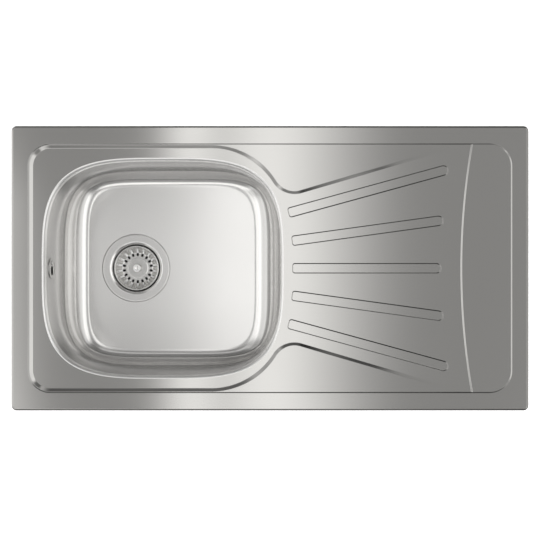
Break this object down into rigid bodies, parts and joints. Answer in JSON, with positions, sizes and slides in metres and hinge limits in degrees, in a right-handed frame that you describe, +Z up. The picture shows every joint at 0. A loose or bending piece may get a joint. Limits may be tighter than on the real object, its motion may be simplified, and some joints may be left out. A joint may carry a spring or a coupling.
{
  "type": "inset kitchen sink with drainboard",
  "caption": "Pressed steel inset sink: round-cornered bowl with basket waste and overflow, fan-ribbed drainboard, rim seal and worktop clips.",
  "frame": {"origin": "middle of the plate's outline, at the worktop's surface, which the rim seal rests on", "axes": "+X along the plate towards the drainboard end, +Y towards the rear edge, +Z up"},
  "size_m": [0.79, 0.435, 0.3277],
  "materials": {
    "sink_steel": "satin linen-rolled stainless steel, grain along the length",
    "polished_steel": "polished stainless steel",
    "zinc_steel": "zinc-plated steel",
    "black_plastic": "moulded black polypropylene",
    "white_plastic": "moulded white polypropylene",
    "rubber": "black rubber",
    "seal_foam": "closed-cell foam strip",
    "damping_pad": "bitumen sound-deadening sheet"
  },
  "bodies": {
    "sink": {"deck_plate": "sink_steel", "bowl": "sink_steel", "bowl_damping_pad": "damping_pad", "drainboard_damping_pad": "damping_pad", "strainer_cup": "polished_steel", "flange_gasket": "rubber", "body_gasket": "rubber", "waste_body": "black_plastic", "centre_screw": "zinc_steel", "outlet_washer": "rubber", "outlet_nut": "black_plastic", "outlet_tail": "white_plastic", "overflow_rosette": "polished_steel", "overflow_screw": "polished_steel", "overflow_gasket": "rubber", "overflow_elbow": "black_plastic", "overflow_pipe": "white_plastic", "overflow_upper_nut": "black_plastic", "overflow_lower_nut": "black_plastic", "rim_seal_rear": "seal_foam", "clip_rail_rear": "sink_steel", "clip_bracket_1": "zinc_steel", "clip_bracket_2": "zinc_steel", "clip_bracket_3": "zinc_steel", "rim_seal_left": "seal_foam", "clip_rail_left": "sink_steel", "clip_bracket_4": "zinc_steel", "rim_seal_front": "seal_foam", "clip_rail_front": "sink_steel", "clip_bracket_5": "zinc_steel", "clip_bracket_6": "zinc_steel", "clip_bracket_7": "zinc_steel", "rim_seal_right": "seal_foam", "clip_rail_right": "sink_steel", "clip_bracket_8": "zinc_steel"},
    "basket": {"strainer_basket": "polished_steel", "basket_seal": "rubber", "basket_stem": "zinc_steel", "basket_knob": "polished_steel"},
    "screw_1": {"clip_screw_1": "zinc_steel"},
    "claw_1": {"clip_claw_1": "zinc_steel"},
    "screw_2": {"clip_screw_2": "zinc_steel"},
    "claw_2": {"clip_claw_2": "zinc_steel"},
    "screw_3": {"clip_screw_3": "zinc_steel"},
    "claw_3": {"clip_claw_3": "zinc_steel"},
    "screw_4": {"clip_screw_4": "zinc_steel"},
    "claw_4": {"clip_claw_4": "zinc_steel"},
    "screw_5": {"clip_screw_5": "zinc_steel"},
    "claw_5": {"clip_claw_5": "zinc_steel"},
    "screw_6": {"clip_screw_6": "zinc_steel"},
    "claw_6": {"clip_claw_6": "zinc_steel"},
    "screw_7": {"clip_screw_7": "zinc_steel"},
    "claw_7": {"clip_claw_7": "zinc_steel"},
    "screw_8": {"clip_screw_8": "zinc_steel"},
    "claw_8": {"clip_claw_8": "zinc_steel"}
  },
  "joints": [
    {"name": "basket_lift", "type": "slide", "parent": "sink", "child": "basket", "axis": [0, 0, 1], "range_m": [0, 0.2]},
    {"name": "clip_screw_travel_1", "type": "slide", "parent": "sink", "child": "screw_1", "axis": [0, 0, 1], "range_m": [0, 0.016]},
    {"name": "clip_claw_turn_1", "type": "hinge", "parent": "screw_1", "child": "claw_1", "pos_m": [-0.26, 0.194, -0.0475], "axis": [0, 0, 1], "range_deg": [0, 90]},
    {"name": "clip_screw_travel_2", "type": "slide", "parent": "sink", "child": "screw_2", "axis": [0, 0, 1], "range_m": [0, 0.016]},
    {"name": "clip_claw_turn_2", "type": "hinge", "parent": "screw_2", "child": "claw_2", "pos_m": [0, 0.194, -0.0475], "axis": [0, 0, 1], "range_deg": [0, 90]},
    {"name": "clip_screw_travel_3", "type": "slide", "parent": "sink", "child": "screw_3", "axis": [0, 0, 1], "range_m": [0, 0.016]},
    {"name": "clip_claw_turn_3", "type": "hinge", "parent": "screw_3", "child": "claw_3", "pos_m": [0.26, 0.194, -0.0475], "axis": [0, 0, 1], "range_deg": [0, 90]},
    {"name": "clip_screw_travel_4", "type": "slide", "parent": "sink", "child": "screw_4", "axis": [0, 0, 1], "range_m": [0, 0.016]},
    {"name": "clip_claw_turn_4", "type": "hinge", "parent": "screw_4", "child": "claw_4", "pos_m": [-0.3715, -0.09, -0.0475], "axis": [0, 0, 1], "range_deg": [0, 90]},
    {"name": "clip_screw_travel_5", "type": "slide", "parent": "sink", "child": "screw_5", "axis": [0, 0, 1], "range_m": [0, 0.016]},
    {"name": "clip_claw_turn_5", "type": "hinge", "parent": "screw_5", "child": "claw_5", "pos_m": [0.26, -0.194, -0.0475], "axis": [0, 0, 1], "range_deg": [0, 90]},
    {"name": "clip_screw_travel_6", "type": "slide", "parent": "sink", "child": "screw_6", "axis": [0, 0, 1], "range_m": [0, 0.016]},
    {"name": "clip_claw_turn_6", "type": "hinge", "parent": "screw_6", "child": "claw_6", "pos_m": [0, -0.194, -0.0475], "axis": [0, 0, 1], "range_deg": [0, 90]},
    {"name": "clip_screw_travel_7", "type": "slide", "parent": "sink", "child": "screw_7", "axis": [0, 0, 1], "range_m": [0, 0.016]},
    {"name": "clip_claw_turn_7", "type": "hinge", "parent": "screw_7", "child": "claw_7", "pos_m": [-0.26, -0.194, -0.0475], "axis": [0, 0, 1], "range_deg": [0, 90]},
    {"name": "clip_screw_travel_8", "type": "slide", "parent": "sink", "child": "screw_8", "axis": [0, 0, 1], "range_m": [0, 0.016]},
    {"name": "clip_claw_turn_8", "type": "hinge", "parent": "screw_8", "child": "claw_8", "pos_m": [0.3715, 0, -0.0475], "axis": [0, 0, 1], "range_deg": [0, 90]}
  ]
}
